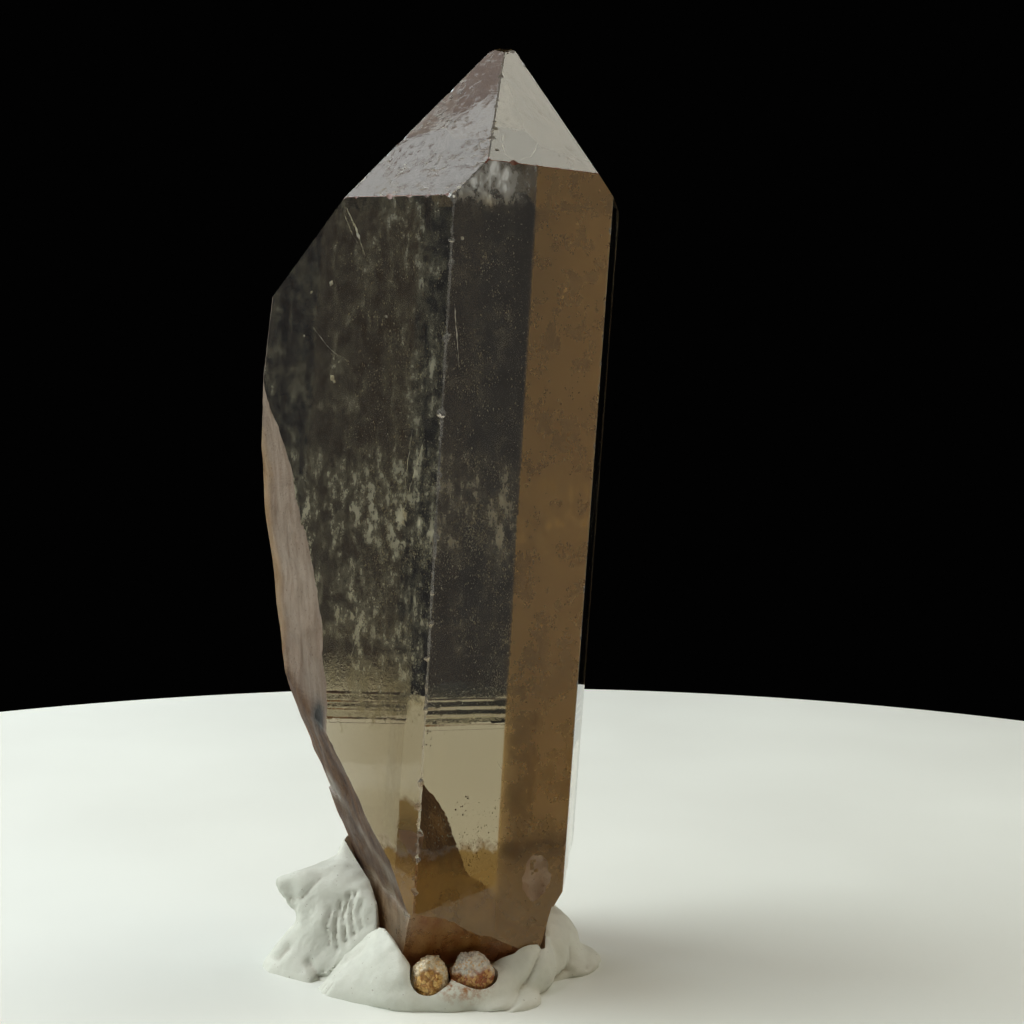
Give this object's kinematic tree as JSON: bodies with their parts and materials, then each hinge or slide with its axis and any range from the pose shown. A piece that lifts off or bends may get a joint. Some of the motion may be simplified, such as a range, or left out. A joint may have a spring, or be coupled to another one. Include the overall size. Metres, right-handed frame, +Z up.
{
  "type": "quartz crystal point",
  "caption": "Smoky quartz point with a six-sided prism, a pyramid tip and a broken flank, standing upright in a pressed lump of white mounting putty.",
  "frame": {"origin": "the middle of the putty's flat underside, on the surface that it stands on", "axes": "+Z up, along the crystal's length; -Y towards the side that shows the two wide prism faces; +X to the right of that side"},
  "size_m": [0.0253, 0.0209, 0.0639],
  "materials": {
    "smoky_quartz": "clear smoky quartz with glossy flat faces, veils inside and rough broken patches",
    "white_putty": "soft satin putty with finger marks",
    "pale_matrix": "bumpy cream and amber mineral grain",
    "rusty_matrix": "crumbly rust-brown mineral grain with a pale top"
  },
  "bodies": {
    "root": {"quartz_crystal": "smoky_quartz", "mounting_putty": "white_putty", "matrix_grain_pale": "pale_matrix", "matrix_grain_rusty": "rusty_matrix"}
  },
  "joints": []
}
